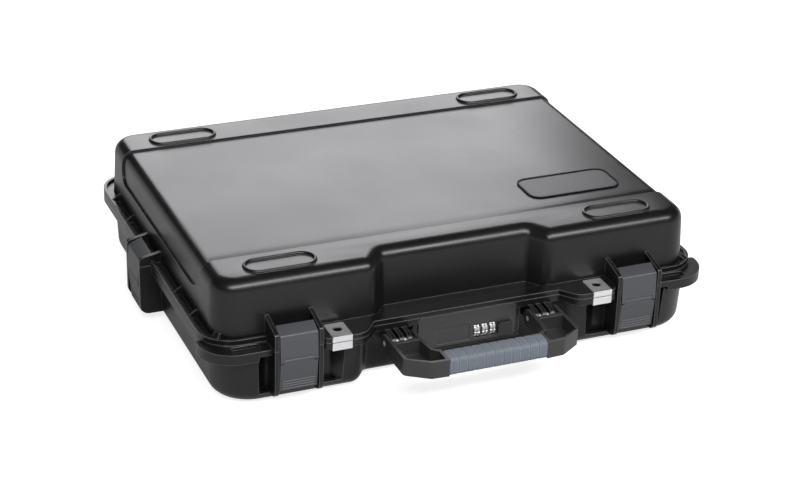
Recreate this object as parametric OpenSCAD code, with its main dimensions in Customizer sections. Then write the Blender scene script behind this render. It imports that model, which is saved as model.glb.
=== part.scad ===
// Black moulded hard case for a laptop. It lies flat on its feet with the front, where the handle and
// the combination lock are, towards -Y. Every module works in the shell's own frame, whose origin is
// on the ground under the middle of the shells; placed() then moves the whole case so that the origin
// lies under the middle of its full length, handle and hinges included.

/* [Case] */
// Width over the rim at the sides
case_w = 499; // [470:1:540]
// Depth from the front flange to the rear rim
case_d = 400; // [380:1:440]
// Height of the parting plane above the ground
part_z = 61; // [58:0.5:72]
// Height of the lid above the parting plane
lid_h = 58.5; // [50:0.5:80]
// Thickness of the moulded walls
wall_t = 4; // [3:0.25:5]
// Draft of the moulded walls in degrees
draft = 3; // [1:0.5:4]
// Gap between the lid's rim and the base's rim
part_gap = 0.4; // [0.3:0.05:0.8]
// Radius of the rim's vertical corners
rim_corner_r = 32; // [28:1:40]
// Height of the feet
foot_h = 2.5; // [2:0.25:5]

/* [Lid] */
// How far the lid's side walls stand in from the side rim
lid_side_in = 9; // [8:0.5:12]
// How far the lid's front wall stands in from the front flange
lid_front_in = 28.5; // [26:0.5:34]
// How far the lid's rear wall stands in from the rear rim
lid_rear_in = 11.5; // [9:0.5:16]
// Radius of the lid's vertical corners
lid_corner_r = 26; // [22:1:32]
// Radius of the lid's upper edge
lid_edge_r = 13; // [10:0.5:14]
// Depth of the hollow for the handle in the lid's front wall
lid_hollow_d = 19; // [14:0.5:24]
// Half the width of that hollow at its bottom
lid_hollow_w = 70; // [60:1:86]
// Height of the lid's rim
lid_rim_h = 4.6; // [4:0.2:6]
// How deep the side panel and the top panel lie in the lid
panel_t = 2; // [1:0.25:2.5]
// How far the top panel rolls down towards the strip in front of it
panel_roll_h = 1.6; // [0.8:0.1:2]
// Depth of the stretch over which it rolls down
panel_roll_d = 18; // [12:1:24]
// Depth of the strip in front of the top panel, from the lid's front wall
front_strip_d = 52; // [44:1:60]
// Depth of the strip behind the top panel, from the lid's rear wall
rear_strip_d = 50; // [44:1:60]
// Height above the parting plane where the panel starts on the sides
panel_low = 26; // [22:1:32]

/* [Base] */
// How far the base's side walls stand in from the side rim
base_side_in = 7.5; // [6:0.5:9]
// How far the base's front wall stands in from the front flange
base_front_in = 13; // [11:0.5:16]
// Radius of the base's vertical corners
base_corner_r = 40; // [34:1:44]
// Radius of the base's lower edge
base_edge_r = 12; // [9:0.5:13]
// Depth of the hollow for the handle in the base's front wall
base_hollow_d = 17; // [14:0.5:19]
// Half the width of that hollow at its bottom
base_hollow_w = 91; // [90:0.5:95]
// Height of the rim band round the base
base_rim_h = 9; // [7:0.5:11]
// Height of the flange along the middle of the base's front
base_flange_h = 6.5; // [5.5:0.25:8]
// How far the rim stands in from the front flange beside the latches
rim_front_in = 24; // [22:0.5:26]

/* [Latches] */
// Distance from the middle of the case to a front latch
latch_x = 170.8; // [168:0.2:174]
// Place of the side latches behind the middle of the shells
side_latch_y = 22; // [-20:1:50]
// Width of a latch
latch_w = 35.6; // [32:0.2:38]
// Height of the latch's knee above the ground, where hook and lever meet
latch_knee_z = 52; // [51:0.5:53]
// How much lower the side latches sit
side_latch_drop = 8; // [7:0.25:8.5]
// Thickness of the ears beside a latch
ear_t = 4; // [3:0.25:5]
// Gap between a latch and its ears
ear_gap = 1.2; // [0.8:0.1:1.6]
// Radius of the steel pin that a latch turns on
latch_pin_r = 2; // [1.5:0.1:2.5]
// Running clearance of pins in their holes
run_gap = 0.06; // [0.03:0.01:0.1]

/* [Handle] */
// Distance of the handle's pivot in front of the hollow's flange
pivot_out = 10; // [9.5:0.25:13]
// Height of the handle's pivot above the ground
pivot_z = 47; // [46:0.5:48]
// Reach of the handle from its pivot
handle_reach = 61; // [52:1:66]
// Height of the handle's arms
handle_h = 17; // [14:0.5:18]
// Distance from the middle to the outside of an arm at the pivot
arm_out_x = 87; // [86:0.5:88]
// Distance from the middle to the inside of an arm at the pivot
arm_in_x = 57; // [56:0.5:58]
// Length of the rubber grip
grip_l = 97; // [80:1:104]
// Radius of the handle's pins
handle_pin_r = 2.5; // [2:0.1:3]

/* [Lock and padlock plates] */
// Width of the lock's panel
lock_w = 98; // [94:1:100]
// Height of the lock's panel
lock_h = 33; // [30:0.5:34]
// Radius of the number dials
dial_r = 7.6; // [7.2:0.1:8]
// Width of a number dial
dial_w = 5.2; // [4.5:0.1:6]
// Distance between two dials
dial_pitch = 8; // [7:0.1:9]
// Travel of the lock's slide button
button_travel = 4; // [3:0.25:5]
// Distance from the middle to a padlock plate
plate_x = 130.6; // [129:0.2:132]
// Width of a padlock plate
plate_w = 19; // [17:0.5:21]
// Depth of a padlock plate
plate_d = 24; // [22:0.5:26]
// Thickness of the padlock plates
plate_t = 1.2; // [1:0.1:1.5]
// Radius of the padlock hole
padlock_r = 4.5; // [4:0.1:5]

/* [Hinges and interior] */
// Distance of the hinge axis behind the rear rim
hinge_out = 6.5; // [6.2:0.1:8]
// Radius of the hinge knuckles
knuckle_r = 5.5; // [4.5:0.1:5.8]
// Radius of the hinge pins
hinge_pin_r = 2; // [1.5:0.1:2.5]
// Distance from the middle to a hinge
hinge_x = 128; // [90:1:150]
// Width of one hinge knuckle
knuckle_w = 12; // [9:0.5:14]
// Width of the laptop's nest in the lower foam
nest_w = 404; // [360:1:410]
// Depth of the laptop's nest in the lower foam
nest_d = 284; // [250:1:290]
// Thickness of the lower foam under the laptop
foam_floor_t = 16; // [10:1:24]
// Distance from the middle of the lid's rings to the middle of the case
ring_x = 170; // [160:1:176]

/* [Badge plate] */
// Width of the bare plate on the lid
badge_w = 98; // [80:1:110]
// Depth of the bare plate on the lid
badge_d = 46; // [36:1:50]
// Distance from the middle of the case to the plate
badge_x = 155; // [130:1:160]
// Place of the plate in front of the middle of the shells
badge_y = -71; // [-80:1:-40]

/* [Hidden] */
$fn = 48;
far = 1000;

// Heights above the ground
floor_z = foot_h + wall_t;
lid_z = part_z + part_gap;
lid_top = part_z + lid_h;
rim_top = lid_z + lid_rim_h;
band_z = part_z - base_rim_h;
flange_z = part_z - base_flange_h;
deck_z = part_z - 1;
deck_t = 4;
panel_z = part_z + panel_low;

// Places across and along the shells
front_y = -case_d / 2;
rear_y = case_d / 2;
rim_front_y = front_y + rim_front_in;
lid_front_y = front_y + lid_front_in;
lid_rear_y = rear_y - lid_rear_in;
base_front_y = front_y + base_front_in;
base_rear_y = rear_y - base_side_in;
hinge_y = rear_y + hinge_out;
hinge_z = part_z + part_gap / 2;

// How the hollows' ends run back, and how round their bends are
slope = acos(0.6);
bend_in = 5;
function flat_in(edge_r, high) = edge_r / cos(draft) + (high - edge_r) * tan(draft);
lid_flat_in = flat_in(lid_edge_r, lid_top - lid_z);
base_flat_in = flat_in(base_edge_r, deck_z - foot_h);
lid_bend = ceil(lid_flat_in + 1.5);
base_bend = ceil(base_flat_in + 1.5);
flange_bend = base_bend;

// Ledge, channel, seal and opening, each as its distance in from the lid's walls
opening_in = 10.5;
foam_in = 11;
channel_t = 2;
lip_t = 3;
seal_from = 5;
seal_to = 8.5;
seal_deep = 2.6;
seal_squeeze = 0.15;

// Points of a round corner between two directions, and of an outline whose corners are [x, y, radius]
function unit(v) = v / norm(v);
function arc(m, s, e, n) = let (turn = acos(unit(s - m) * unit(e - m)))
    [for (k = [0 : n]) m + ((s - m) * sin(turn * (1 - k / n)) + (e - m) * sin(turn * k / n)) / sin(turn)];
function corner(p, u, v, r, n) = let (half = acos(u * v) / 2)
    arc(p + unit(u + v) * r / sin(half), p + u * r / tan(half), p + v * r / tan(half), n);
function rounded(c, n = 6) = [
    for (i = [0 : len(c) - 1])
        let (p = [c[i][0], c[i][1]],
             a = c[(i + len(c) - 1) % len(c)],
             b = c[(i + 1) % len(c)])
        each c[i][2] == 0 ? [p] : corner(p, unit([a[0], a[1]] - p), unit([b[0], b[1]] - p), c[i][2], n)
];

// A path is a list of steps, walked with the inside on the left: [length, 0, 0] goes straight on, and
// [0, radius, angle] bends, to the left where the angle is positive
function ahead(l) = [l, 0, 0];
function bend(r, a) = [0, r, a];
function steps_to(s, p, h) = s[1] == 0 ? p + s[0] * [cos(h), sin(h)]
    : let (side = sign(s[2]), c = p + side * s[1] * [-sin(h), cos(h)])
      c + side * s[1] * [sin(h + s[2]), -cos(h + s[2])];

// Points of a path set in by a distance: every bend becomes an arc
function path_points(path, p, in = 0, h = 0, i = 0) = i == len(path) ? [] : let (
        s = path[i],
        side = sign(s[2]),
        c = p + side * s[1] * [-sin(h), cos(h)],
        r = s[1] - side * in,
        n = ceil(abs(s[2]) / 7.5)
    ) concat(
        s[1] == 0 ? [] : [for (k = [0 : n]) let (a = h + s[2] * k / n) c + side * r * [sin(a), -cos(a)]],
        path_points(path, steps_to(s, p, h), in, h + s[2], i + 1)
    );

// A hollow between two straight stretches: half the width of its bottom, its depth and its bends
function hollow_run(deep, out_r, in_r) = (deep - (out_r + in_r) * (1 - cos(slope))) / sin(slope);
function hollow_side(deep, out_r, in_r) =
    (out_r + in_r) * sin(slope) + hollow_run(deep, out_r, in_r) * cos(slope);
function hollow(half, deep, out_r, in_r) = let (run = ahead(hollow_run(deep, out_r, in_r))) [
    bend(out_r, slope), run, bend(in_r, -slope), ahead(2 * half), bend(in_r, -slope), run, bend(out_r, slope)
];

// A tray's outline with a hollow in its front
function tray_path(w, d, r, half, deep, out_r, in_r) =
    let (straight = ahead(w / 2 - r - half - hollow_side(deep, out_r, in_r))) concat(
        [straight], hollow(half, deep, out_r, in_r), [straight, bend(r, 90), ahead(d - 2 * r), bend(r, 90),
        ahead(w - 2 * r), bend(r, 90), ahead(d - 2 * r), bend(r, 90)]
    );

lid_w = case_w - 2 * lid_side_in;
lid_path = tray_path(lid_w, lid_rear_y - lid_front_y, lid_corner_r,
                     lid_hollow_w, lid_hollow_d, lid_bend, bend_in);
lid_start = [lid_corner_r - lid_w / 2, lid_front_y];
base_w = case_w - 2 * base_side_in;
base_path = tray_path(base_w, base_rear_y - base_front_y, base_corner_r,
                      base_hollow_w, base_hollow_d, base_bend, bend_in);
base_start = [base_corner_r - base_w / 2, base_front_y];

// The rim follows the shells, and steps out to the flange between the front latches
flange_w = latch_x - latch_w / 2 - ear_gap - ear_t;
flange_in_r = 4;
flange_out_r = 8;
rim_path = let (
        beside = ahead(case_w / 2 - rim_corner_r - flange_w - flange_in_r),
        out = ahead(rim_front_in - flange_in_r - flange_out_r),
        along = ahead(flange_w - flange_out_r - base_hollow_w
                      - hollow_side(base_hollow_d, flange_bend, bend_in))
    ) concat(
        [beside, bend(flange_in_r, -90), out, bend(flange_out_r, 90), along],
        hollow(base_hollow_w, base_hollow_d, flange_bend, bend_in),
        [along, bend(flange_out_r, 90), out, bend(flange_in_r, -90), beside, bend(rim_corner_r, 90),
         ahead(case_d - rim_front_in - 2 * rim_corner_r), bend(rim_corner_r, 90),
         ahead(case_w - 2 * rim_corner_r), bend(rim_corner_r, 90),
         ahead(case_d - rim_front_in - 2 * rim_corner_r), bend(rim_corner_r, 90)]
    );
rim_start = [rim_corner_r - case_w / 2, rim_front_y];

// Drives a section along a path; the section's x points outwards and its y upwards. A bend is a quarter
// turn, cut off where the next step starts.
module swept(path, i = 0) {
    if (i < len(path)) {
        l = path[i][0];
        r = path[i][1];
        a = path[i][2];
        side = sign(a);
        if (r == 0) {
            translate([l, 0, 0]) rotate([90, 0, -90]) linear_extrude(l) children();
            translate([l, 0, 0]) swept(path, i + 1) children();
        } else {
            difference() {
                translate([0, side * r, 0]) rotate([0, 0, a > 0 ? -90 : 0]) rotate_extrude(angle = 90)
                    translate([r, 0]) mirror([a > 0 ? 0 : 1, 0]) children();
                if (abs(a) < 90) past_bend(r, a) translate([0, -far / 2, -far / 2]) cube(far);
            }
            past_bend(r, a) swept(path, i + 1) children();
        }
    }
}
module past_bend(r, a) {
    translate([0, sign(a) * r, 0]) rotate([0, 0, a]) translate([0, -sign(a) * r, 0]) children();
}

// Outline of a drafted wall that turns into a flat top, set in by a distance. It starts at height 0.
function wall_outline(high, edge_r, flat, in, n = 7) = let (
        r = edge_r - in,
        c = [-flat, high - edge_r],
        lean = [cos(draft), sin(draft)]
    ) concat(
        [[-flat - 0.8, 0], [-in / cos(draft), 0]],
        arc(c, c + r * lean, c + [0, r], n),
        [[-flat - 0.8, high - in]]
    );
module wall_section(high, edge_r, flat, t) {
    difference() {
        polygon(wall_outline(high, edge_r, flat, 0));
        translate([0, -1]) polygon(wall_outline(high + 1, edge_r, flat, t));
    }
}

module placed() {
    translate([0, (pivot_out + handle_reach - base_hollow_d - hinge_out - knuckle_r) / 2, 0]) children();
}
module both_sides() {
    children();
    mirror([1, 0, 0]) children();
}
// Extrudes a side view across the case: the side view's x points to the front and its y upwards
module across(w) {
    translate([w / 2, 0, 0]) rotate([90, 0, -90]) linear_extrude(w) children();
}
module stadium(w, d) {
    polygon(path_points([ahead(w - d), bend(d / 2, 90), bend(d / 2, 90), ahead(w - d), bend(d / 2, 90),
                         bend(d / 2, 90)], [(d - w) / 2, -d / 2]));
}

// The lid's box and what is moulded onto it
module lid_walls() {
    high = lid_top - lid_z;
    translate([lid_start[0], lid_start[1], lid_z])
        swept(lid_path) wall_section(high, lid_edge_r, lid_flat_in, wall_t);
    translate([0, 0, lid_top - wall_t]) linear_extrude(wall_t)
        polygon(path_points(lid_path, lid_start, lid_flat_in + 0.4));
}

// Cross-section of the lid at the depth of the side panels
module panel_section() {
    high = lid_top - lid_z;
    side = [for (p = wall_outline(high, lid_edge_r, lid_flat_in, panel_t)) if (p[0] > -lid_flat_in - 0.5)
            [lid_w / 2 + p[0], lid_z + p[1]]];
    polygon(concat(side, [for (i = [len(side) - 1 : -1 : 0]) [-side[i][0], side[i][1]]]));
}
panel_front_y = lid_front_y + front_strip_d;
module panel_cut() {
    front = panel_front_y;
    back = lid_rear_y - rear_strip_d;
    big_r = 26;
    small_r = 12;
    level = lid_top - panel_t;
    roll = [for (k = [0 : 6]) [-front - panel_roll_d * k / 6, level - panel_roll_h * pow(1 - k / 6, 2)]];
    across(case_w) polygon(concat(roll, [[-front - panel_roll_d, level + 1], [-front, level + 1]]));
    difference() {
        across(case_w) polygon(rounded([
            [-front, panel_z, big_r], [-front, lid_top + 5, 0],
            [-back, lid_top + 5, 0], [-back, panel_z, small_r]
        ]));
        translate([0, back + 10, 0]) rotate([90, 0, 0]) linear_extrude(back - front + 20) panel_section();
    }
}

// Under the stretch that rolls down, the lid's top is thicker on its inside
module panel_back_strip(gap) {
    w = lid_w - 2 * lid_flat_in + 2 * gap;
    translate([-w / 2, panel_front_y - wall_t - gap, lid_top - wall_t - panel_roll_h - gap])
        cube([w, panel_roll_d + wall_t + 2 * gap, panel_roll_h + gap + 0.5]);
}

module rim_area(in = 0) {
    polygon(path_points(rim_path, rim_start, in));
}
module lid_area(in) {
    polygon(path_points(lid_path, lid_start, in));
}
module base_area(in) {
    polygon(path_points(base_path, base_start, in));
}
module flange_strip() {
    translate([-flange_w, front_y - 1]) square([2 * flange_w, lid_front_in + 3]);
}

module lid_rim() {
    translate([0, 0, lid_z]) linear_extrude(channel_t) difference() {
        rim_area();
        lid_area(1.5);
    }
    translate([0, 0, lid_z]) linear_extrude(lid_rim_h) difference() {
        union() {
            difference() {
                rim_area();
                rim_area(lip_t);
            }
            intersection() {
                rim_area();
                flange_strip();
            }
        }
        lid_area(1.5);
    }
    translate([0, 0, lid_z]) linear_extrude(lid_rim_h) difference() {
        lid_area(1.5);
        lid_area(opening_in);
    }
}

// Where a latch stands: turned so that its own -Y points outwards, its middle at x = 0. The side latches
// are the same, only lower.
latch_front_y = front_y + 0.5;
latch_side_x = case_w / 2 + 12.5;
module at_latch(spot) {
    if (spot == "front_left") translate([-latch_x, latch_front_y, 0]) children();
    if (spot == "front_right") translate([latch_x, latch_front_y, 0]) children();
    if (spot == "side_left")
        translate([-latch_side_x, side_latch_y, -side_latch_drop]) rotate([0, 0, -90]) children();
    if (spot == "side_right")
        translate([latch_side_x, side_latch_y, -side_latch_drop]) rotate([0, 0, 90]) children();
}
ear_in = latch_w / 2 + ear_gap;
ear_front = -0.5;
ear_top = 77.5;
hook_pin = [-10, 27];
hook_boss_r = 4;
pin_seat = 3;
bar_back = -11;
bar_front = -5.5;
bar_low = 69.7;
bar_high = 73;

// Two ears beside a latch: each is a side view, given as its distance outwards and its height
module ears(outline) {
    both_sides() translate([ear_in + ear_t / 2, 0, 0]) across(ear_t) polygon(outline);
}
module lid_ears(wall_out, drop) {
    back = -wall_out - 3;
    low = lid_z + drop;
    ears(rounded([[back, low, 0], [ear_front, low, 0], [ear_front, ear_top, 4], [-10, ear_top + 2, 4],
                  [back, ear_top + 2 + 0.27 * (wall_out - 10), 0]]));
    across(2 * ear_in + 2) polygon([
        [bar_back, bar_low], [bar_front, bar_low], [bar_front, bar_high], [bar_back, bar_high]
    ]);
}
module base_ears(wall_out, drop, low) {
    back = -wall_out;
    high = part_z + drop;
    ears(rounded([[back, high, 0], [back, low, 0], [ear_front, low, 9], [ear_front, high, 0]]));
}
// Blind bores in the base's ears for the steel pin that a latch turns on
module ear_bores() {
    translate([-ear_in - pin_seat, -hook_pin[0], hook_pin[1]]) rotate([0, 90, 0])
        cylinder(r = latch_pin_r + run_gap, h = 2 * (ear_in + pin_seat));
}

// Lid rim's small parts: gussets between lip and wall, and the striker's seat
gusset_t = 1.5;
corner_gusset_t = 6;
rim_middle = [case_w / 2 - rim_corner_r, rim_front_y + rim_corner_r];
corner_shift = rim_middle - [lid_w / 2 - lid_corner_r, lid_front_y + lid_corner_r];
corner_along = corner_shift * unit([1, -1]);
corner_wall_in = rim_corner_r + corner_along
    - sqrt(corner_along * corner_along - corner_shift * corner_shift + lid_corner_r * lid_corner_r);
module gusset(wall_in, t, high) {
    across(t) polygon([[-wall_in - 1.5, lid_z], [-1, lid_z], [-1, rim_top], [-wall_in + 1, high],
                       [-wall_in - 1.5, high]]);
}
module lid_gussets() {
    both_sides() {
        for (y = [-117, -69, 92, 143])
            translate([-case_w / 2, y, 0]) rotate([0, 0, -90]) gusset(lid_side_in, gusset_t, rim_top + 5);
        translate([rim_middle[0], rim_middle[1], 0]) rotate([0, 0, 45])
            translate([0, -rim_corner_r, 0]) gusset(corner_wall_in, corner_gusset_t, rim_top + 3.5);
    }
    for (x = [-190, -60, 60, 190])
        translate([x, rear_y, 0]) rotate([0, 0, 180]) gusset(lid_rear_in, gusset_t, rim_top + 5);
}

// A knuckle of a hinge with the arm that carries it
hinge_gap = 0.3;
function knuckle_x(i) = (i - 2) * (knuckle_w + hinge_gap);
module knuckles(first, low, high) {
    for (side = [-1, 1], i = [first : 2 : 4]) translate([side * hinge_x + knuckle_x(i), 0, 0]) {
        translate([-knuckle_w / 2, hinge_y, hinge_z]) rotate([0, 90, 0])
            cylinder(r = knuckle_r, h = knuckle_w);
        translate([-knuckle_w / 2, rear_y - 2, low]) cube([knuckle_w, hinge_y - rear_y + 2, high - low]);
    }
}
module hinge_bores() {
    for (side = [-1, 1]) translate([side * hinge_x - 3 * knuckle_w, hinge_y, hinge_z]) rotate([0, 90, 0])
        cylinder(r = hinge_pin_r + run_gap, h = 6 * knuckle_w);
}

// The lid's rings and the base's feet share their places, so that cases stack
pad_w = 60;
pad_d = 18;
ring_w = 70;
ring_d = 28;
ring_t = 3.6;
ring_h = 2.3;
ring_front_y = lid_front_y + 28.2;
ring_rear_y = lid_rear_y - 34;
module at_rings() {
    for (x = [-ring_x, ring_x], y = [ring_front_y, ring_rear_y]) translate([x, y, 0]) children();
}
module ring() {
    bead = [for (k = [0 : 8]) [-ring_t / 2 * (1 - cos(180 * k / 8)), ring_h * sin(180 * k / 8)]];
    straight = ring_w - ring_d;
    translate([-straight / 2, -ring_d / 2, lid_top - 0.5])
        swept([ahead(straight), bend(ring_d / 2, 90), bend(ring_d / 2, 90), ahead(straight),
               bend(ring_d / 2, 90), bend(ring_d / 2, 90)])
        polygon(concat([[-ring_t, -1]], [for (k = [8 : -1 : 0]) bead[k] + [0, 0.5]], [[0, -1]]));
}

lid_padlock_z = rim_top + plate_t;
base_padlock_z = flange_z - plate_t;
padlock_y = front_y + 13;
module padlock_holes() {
    both_sides() translate([plate_x, padlock_y, base_padlock_z - 5])
        cylinder(r = padlock_r, h = lid_padlock_z - base_padlock_z + 10);
}

striker_x = 35.2;
striker_t = 2.5;
striker_y = rim_front_y + 2;
striker_d = 10;
striker_low = 49;
module striker_body(gap, low, high) {
    translate([striker_x - striker_t / 2 - gap, striker_y - striker_d / 2 - gap, low])
        cube([striker_t + 2 * gap, striker_d + 2 * gap, high - low]);
}

module seal_groove(gap, deep) {
    translate([0, 0, lid_z - 1]) linear_extrude(deep + 1) difference() {
        lid_area(seal_from - gap);
        lid_area(seal_to + gap);
    }
}

module lid_shell() {
    color("#26272a") difference() {
        union() {
            difference() {
                union() {
                    lid_walls();
                    panel_back_strip(0);
                }
                panel_cut();
            }
            difference() {
                lid_rim();
                side_notches();
            }
            lid_gussets();
            for (spot = ["front_left", "front_right"])
                at_latch(spot) lid_ears(lid_front_y - latch_front_y, 0);
            for (spot = ["side_left", "side_right"])
                at_latch(spot) lid_ears(latch_side_x - lid_w / 2, side_latch_drop);
            knuckles(1, lid_z, rim_top + 1);
            at_rings() ring();
        }
        hinge_bores();
        padlock_holes();
        seal_groove(0, seal_deep);
        striker_body(0, lid_z - 1, rim_top - 0.6);
    }
}

// The side rims step back between the ears, so that the latch passes
module side_notches() {
    both_sides() translate([case_w / 2 - 3.5, side_latch_y - ear_in, band_z - 10])
        cube([20, 2 * ear_in, 40]);
}

// The base's box, deck and rim band
pocket_y = rim_front_y;
pocket_low = 12;
pocket_beyond = 12.2;
pocket_flare = [13, 8];
pocket_wide = [plate_x - plate_w / 2 - 0.1, latch_x + ear_in + ear_t + pocket_beyond];
pocket_narrow = [pocket_wide[0] + pocket_flare[0], pocket_wide[1] - pocket_flare[1]];
block_t = 4;
opening_low = deck_z - deck_t;
module base_walls() {
    high = deck_z - foot_h;
    translate([base_start[0], base_start[1], deck_z]) mirror([0, 0, 1])
        swept(base_path) wall_section(high, base_edge_r, base_flat_in, wall_t);
    translate([0, 0, foot_h]) linear_extrude(wall_t)
        polygon(path_points(base_path, base_start, base_flat_in + 0.4));
    translate([0, 0, opening_low]) linear_extrude(deck_t) difference() {
        base_area(1);
        lid_area(opening_in);
    }
    translate([0, 0, band_z]) linear_extrude(part_z - band_z) difference() {
        rim_area();
        flange_strip();
        base_area(2);
    }
    translate([0, 0, opening_low]) linear_extrude(part_z - opening_low) difference() {
        rim_area();
        flange_strip();
        lid_area(opening_in);
    }
    translate([0, 0, flange_z]) linear_extrude(base_flange_h) difference() {
        intersection() {
            rim_area();
            flange_strip();
        }
        lid_area(opening_in);
    }
}
module pocket_area(grow, back) {
    polygon(rounded([
        [pocket_wide[0] - grow, base_front_y - 12, 0], [pocket_wide[1] + grow, base_front_y - 12, 0],
        [pocket_wide[1] + grow, base_front_y, 9], [pocket_narrow[1] + grow, back, 5],
        [pocket_narrow[0] - grow, back, 6], [pocket_wide[0] - grow, base_front_y, 9]
    ]));
}
module pocket_blocks() {
    both_sides() {
        translate([0, 0, foot_h + base_edge_r]) linear_extrude(deck_z - foot_h - base_edge_r - 1)
            intersection() {
                pocket_area(block_t, pocket_y + block_t);
                base_area(3);
            }
        translate([0, 0, foot_h + 2]) linear_extrude(base_edge_r) intersection() {
            pocket_area(block_t, pocket_y + block_t);
            base_area(base_front_in - 2);
        }
    }
}
module pocket_cuts() {
    both_sides() {
        translate([0, 0, pocket_low]) linear_extrude(flange_z - pocket_low) pocket_area(0, pocket_y);
        translate([latch_x - ear_in, front_y - 5, pocket_low])
            cube([2 * ear_in, pocket_y - front_y + 5, far]);
    }
}

// Lips round the front corners, each with a shallow slot behind it
corner_lip_low = part_z - 11;
module corner_lips() {
    start_x = latch_x + ear_in + ear_t;
    both_sides() {
        translate([0, 0, corner_lip_low]) linear_extrude(deck_z - corner_lip_low) difference() {
            polygon(rounded([
                [start_x, front_y + 8, 1], [case_w / 2 + 4.5, front_y + 8, 33],
                [case_w / 2 + 4.5, front_y + 46, 3], [start_x, front_y + 46, 0]
            ], 12));
            base_area(2);
        }
    }
}
module corner_slots() {
    both_sides() translate([latch_x + ear_in + ear_t + 9, rim_front_y - 10, deck_z - 3]) cube([25, 9, 10]);
}

module feet() {
    at_rings() linear_extrude(foot_h + 1) stadium(pad_w, pad_d);
}

// Ribs that carry the handle's pins
handle_y = front_y + base_hollow_d - pivot_out;
rib_t = 4;
rib_r = 8;
rib_x = [64, 72, 80];
rib_back = base_front_y + base_hollow_d + 2;
module handle_ribs() {
    both_sides() for (x = rib_x) translate([x, 0, 0]) {
        translate([-rib_t / 2, handle_y, pivot_z]) rotate([0, 90, 0]) cylinder(r = rib_r, h = rib_t);
        translate([-rib_t / 2, handle_y, pivot_z - rib_r]) cube([rib_t, rib_back - handle_y, 2 * rib_r]);
    }
}
module handle_bores(gap) {
    both_sides() translate([arm_in_x - 1, handle_y, pivot_z]) rotate([0, 90, 0])
        cylinder(r = handle_pin_r + gap, h = arm_out_x - arm_in_x + 2);
}

// Housing of the combination lock behind the hollow's wall
lock_y = front_y + base_hollow_d;
panel_back = lock_y + 2;
lock_z = (27 + 60) / 2;
lock_wall = 3;
lock_back = base_front_y + base_hollow_d + 10;
lock_roof = 57.5;
lock_room_w = 100;
lock_room_low = lock_z - lock_h / 2 + 1;
dial_y = lock_y + 6;
dial_z = lock_z - 6.5;
module lock_block() {
    translate([-lock_w / 2 - 5, panel_back - 0.5, lock_z - lock_h / 2 - lock_wall])
        cube([lock_w + 10, lock_back - panel_back + 0.5, part_z - lock_z + lock_h / 2 + lock_wall]);
}
module lock_cuts() {
    translate([-lock_w / 2 - 0.3, lock_y - 1, lock_z - lock_h / 2 - 0.3])
        cube([lock_w + 0.6, panel_back - lock_y + 1, lock_h + 0.6]);
    translate([-lock_room_w / 2, panel_back - 1, lock_room_low])
        cube([lock_room_w, lock_back - lock_wall - panel_back, lock_roof - lock_room_low]);
    striker_body(1, lock_roof - 1, part_z + 1);
}

module base_shell() {
    color("#242528") difference() {
        union() {
            difference() {
                union() {
                    base_walls();
                    pocket_blocks();
                    corner_lips();
                }
                pocket_cuts();
                side_notches();
                corner_slots();
            }
            feet();
            for (spot = ["front_left", "front_right"])
                at_latch(spot) base_ears(pocket_y - latch_front_y + 1, 0, pocket_low);
            for (spot = ["side_left", "side_right"])
                at_latch(spot) base_ears(latch_side_x - base_w / 2 + 5.5, side_latch_drop, 18);
            handle_ribs();
            lock_block();
            knuckles(0, hinge_z - knuckle_r, part_z);
        }
        hinge_bores();
        padlock_holes();
        lock_cuts();
        handle_bores(run_gap);
        for (spot = ["front_left", "front_right", "side_left", "side_right"]) at_latch(spot) ear_bores();
    }
}

// A bead of rubber that sits in the lid's groove and is pressed on the base's rim
module rim_seal() {
    color("#1b1b1c") translate([0, 0, part_z + seal_squeeze])
        linear_extrude(part_gap + seal_deep - seal_squeeze) difference() {
            lid_area(seal_from);
            lid_area(seal_to);
        }
}

// Foams: the lower one with the laptop's nest and finger holes, the upper one with rows of bumps
foam_gap = 0.2;
finger_r = 22;
bump_pitch = 36;
bump_h = 9;
nest_y = (lid_front_y + lid_hollow_d + lid_rear_y) / 2;
module base_foam() {
    color("#3b3c3f") difference() {
        translate([0, 0, floor_z]) linear_extrude(opening_low - foam_gap - floor_z) intersection() {
            lid_area(foam_in);
            base_area(base_flat_in + foam_gap);
        }
        translate([-nest_w / 2, nest_y - nest_d / 2, floor_z + foam_floor_t]) cube([nest_w, nest_d, far]);
        both_sides() translate([nest_w / 2, nest_y, floor_z + foam_floor_t]) cylinder(r = finger_r, h = far);
    }
}
module lid_foam() {
    upper = lid_top - wall_t - foam_gap;
    color("#3b3c3f") difference() {
        union() {
            translate([0, 0, rim_top + bump_h]) linear_extrude(upper - rim_top - bump_h - 1.5)
                lid_area(foam_in);
            translate([0, 0, upper - 2]) linear_extrude(2) lid_area(lid_flat_in + 1);
            for (i = [-5 : 5], j = [-3 : 3])
                translate([bump_pitch * i, nest_y + bump_pitch * j, rim_top + 0.5])
                    cylinder(r1 = 7, r2 = 15, h = bump_h + 1);
        }
        panel_back_strip(foam_gap);
    }
}

module hinge_pins() {
    color("#b9bbbe") for (side = [-1, 1])
        translate([side * hinge_x - knuckle_x(4) - knuckle_w / 2, hinge_y, hinge_z]) rotate([0, 90, 0])
            cylinder(r = hinge_pin_r, h = 2 * knuckle_x(4) + knuckle_w);
}

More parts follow.
